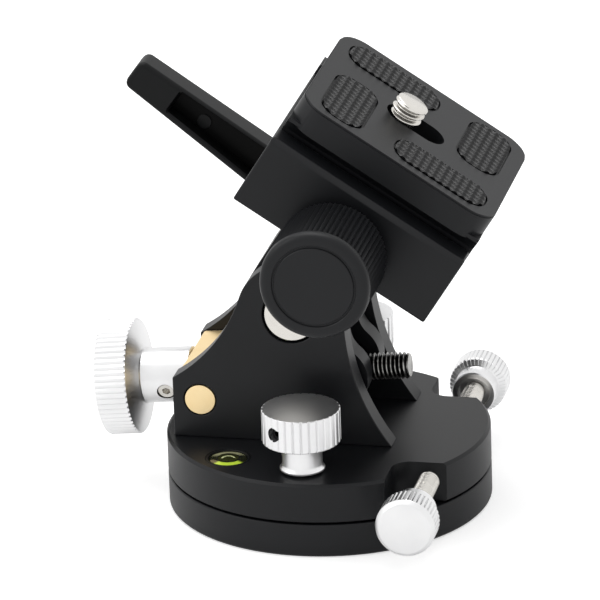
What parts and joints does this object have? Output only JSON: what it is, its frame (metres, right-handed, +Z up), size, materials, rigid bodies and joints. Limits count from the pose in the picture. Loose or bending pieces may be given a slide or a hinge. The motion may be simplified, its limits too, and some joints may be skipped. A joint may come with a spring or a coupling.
{
  "type": "latitude adjustment base",
  "caption": "Tilting quick-release camera clamp on a forked turntable, with a screw-driven latitude adjustment, opposed azimuth screws, thumb locks and a bubble level.",
  "frame": {"origin": "centre of the tripod thread's mouth, on the underside of the base plate", "axes": "+Z up, square to the base plate; +X towards the azimuth screws; -Y towards the clamp knob"},
  "size_m": [0.0797, 0.0811, 0.0831],
  "materials": {
    "black_anodised": "satin black anodised",
    "clear_anodised": "clear anodised, turned",
    "steel": "bright turned",
    "black_steel": "black oxide",
    "brass": "turned, matt",
    "rubber": "ribbed, matt",
    "black_plastic": "moulded",
    "polymer": "smooth",
    "level_fluid": "clear, tinted"
  },
  "bodies": {
    "base": {"base_plate": "black_anodised", "thrust_washer": "polymer", "retaining_disc": "black_anodised", "retaining_screws": "steel", "azimuth_post": "steel"},
    "turntable": {"turntable": "black_anodised", "front_side_plate": "black_anodised", "back_side_plate": "black_anodised", "side_plate_screws": "steel", "tilt_axle": "steel", "friction_washers": "polymer", "lever_washer": "steel", "level_cup": "black_plastic", "level_vial": "level_fluid"},
    "lock_lever": {"lever_handle": "black_plastic", "lever_insert": "steel", "lever_screw": "steel"},
    "head": {"tilt_arm": "black_anodised", "clamp_body": "black_anodised", "clamp_bolts": "steel", "guide_pins": "steel"},
    "jaw": {"clamp_jaw": "black_anodised"},
    "knob": {"clamp_knob": "black_anodised", "clamp_screw": "steel", "clamp_circlip": "steel"},
    "plate": {"camera_plate": "black_anodised", "rubber_pads": "rubber"},
    "clip": {"camera_clip": "steel"},
    "camera_bolt": {"camera_screw": "steel"},
    "nut": {"barrel_nut": "black_steel"},
    "swivel": {"trunnion": "brass"},
    "altitude": {"altitude_rod": "black_steel", "altitude_knob": "clear_anodised", "altitude_grub": "steel", "rod_collar": "steel"},
    "front_az_tip": {"front_azimuth_tip": "brass"},
    "front_az": {"front_azimuth_screw": "steel", "front_azimuth_knob": "clear_anodised"},
    "back_az_tip": {"back_azimuth_tip": "brass"},
    "back_az": {"back_azimuth_screw": "steel", "back_azimuth_knob": "clear_anodised"},
    "front_stop": {"front_lock_tip": "brass"},
    "front_lock": {"front_lock_stud": "steel", "front_lock_knob": "clear_anodised", "front_lock_grub": "black_steel"},
    "back_stop": {"back_lock_tip": "brass"},
    "back_lock": {"back_lock_stud": "steel", "back_lock_knob": "clear_anodised", "back_lock_grub": "black_steel"}
  },
  "joints": [
    {"name": "azimuth", "type": "hinge", "parent": "base", "child": "turntable", "pos_m": [0, 0, 0], "axis": [0, 0, 1], "range_deg": [-9.9, 4.17]},
    {"name": "tilt", "type": "hinge", "parent": "turntable", "child": "head", "pos_m": [-0.0044, 0.00375, 0.039], "axis": [0, 1, 0], "range_deg": [-32.8, 22.2]},
    {"name": "trunnion_swivel", "type": "hinge", "parent": "turntable", "child": "swivel", "pos_m": [-0.0219, 0.00375, 0.0216], "axis": [0, 1, 0], "range_deg": [-8.05, 5.45]},
    {"name": "altitude_turn", "type": "hinge", "parent": "swivel", "child": "altitude", "pos_m": [-0.0219, 0.00375, 0.0216], "axis": [0.9955, 0, 0.0944], "range_deg": [-3860.01, 2612.89]},
    {"name": "nut_swivel", "type": "hinge", "parent": "head", "child": "nut", "pos_m": [0.00241, 0.00375, 0.02391], "axis": [0, 1, 0], "range_deg": [-16.77, 24.77]},
    {"name": "lever_swing", "type": "hinge", "parent": "turntable", "child": "lock_lever", "pos_m": [-0.0044, 0.00375, 0.039], "axis": [0, 1, 0], "range_deg": [-50, 60]},
    {"name": "jaw_slide", "type": "slide", "parent": "head", "child": "jaw", "axis": [0, -1, 0], "range_m": [0, 0.003]},
    {"name": "clamp_turn", "type": "hinge", "parent": "jaw", "child": "knob", "pos_m": [0.00665, 0.00375, 0.05615], "axis": [0, -1, 0], "range_deg": [-1, 1351]},
    {"name": "plate_slide", "type": "slide", "parent": "head", "child": "plate", "axis": [0.8406, 0, -0.5417], "range_m": [-0.02, 0.02]},
    {"name": "screw_slide", "type": "slide", "parent": "plate", "child": "clip", "axis": [0.8406, 0, -0.5417], "range_m": [-0.0002, 0.0052]},
    {"name": "camera_screw_turn", "type": "hinge", "parent": "clip", "child": "camera_bolt", "pos_m": [0.015, 0.00375, 0.07372], "axis": [0.5417, 0, 0.8406], "continuous": true},
    {"name": "front_az_slide", "type": "slide", "parent": "turntable", "child": "front_az_tip", "axis": [0, 1, 0], "range_m": [-0.0016, 0.0038]},
    {"name": "front_az_turn", "type": "hinge", "parent": "front_az_tip", "child": "front_az", "pos_m": [0.022, -0.0011, 0.0105], "axis": [0, 1, 0], "range_deg": [-823.86, 1955.29]},
    {"name": "back_az_slide", "type": "slide", "parent": "turntable", "child": "back_az_tip", "axis": [0, 1, 0], "range_m": [-0.0016, 0.0038]},
    {"name": "back_az_turn", "type": "hinge", "parent": "back_az_tip", "child": "back_az", "pos_m": [0.022, -0.0011, 0.0105], "axis": [0, 1, 0], "range_deg": [-823.86, 1955.29]},
    {"name": "front_lock_lift", "type": "slide", "parent": "turntable", "child": "front_stop", "axis": [0, 0, 1], "range_m": [0, 0.0007]},
    {"name": "front_lock_turn", "type": "hinge", "parent": "front_stop", "child": "front_lock", "pos_m": [0, -0.0228, 0.0142], "axis": [0, 0, 1], "range_deg": [-1, 361]},
    {"name": "back_lock_lift", "type": "slide", "parent": "turntable", "child": "back_stop", "axis": [0, 0, 1], "range_m": [0, 0.0007]},
    {"name": "back_lock_turn", "type": "hinge", "parent": "back_stop", "child": "back_lock", "pos_m": [0, 0.0254, 0.0142], "axis": [0, 0, 1], "range_deg": [-1, 361]}
  ],
  "couplings": [
    {"joint": "altitude_turn", "follows": "tilt", "ratio": 117.65},
    {"joint": "trunnion_swivel", "follows": "tilt", "ratio": 0.245},
    {"joint": "nut_swivel", "follows": "tilt", "ratio": -0.755},
    {"joint": "clamp_turn", "follows": "jaw_slide", "rad_per_m": 7854},
    {"joint": "front_az_slide", "follows": "azimuth", "m_per_rad": -0.022},
    {"joint": "front_az_turn", "follows": "azimuth", "ratio": -197.47},
    {"joint": "back_az_slide", "follows": "azimuth", "m_per_rad": -0.022},
    {"joint": "back_az_turn", "follows": "azimuth", "ratio": -197.47},
    {"joint": "front_lock_turn", "follows": "front_lock_lift", "rad_per_m": 8976},
    {"joint": "back_lock_turn", "follows": "back_lock_lift", "rad_per_m": 8976}
  ]
}
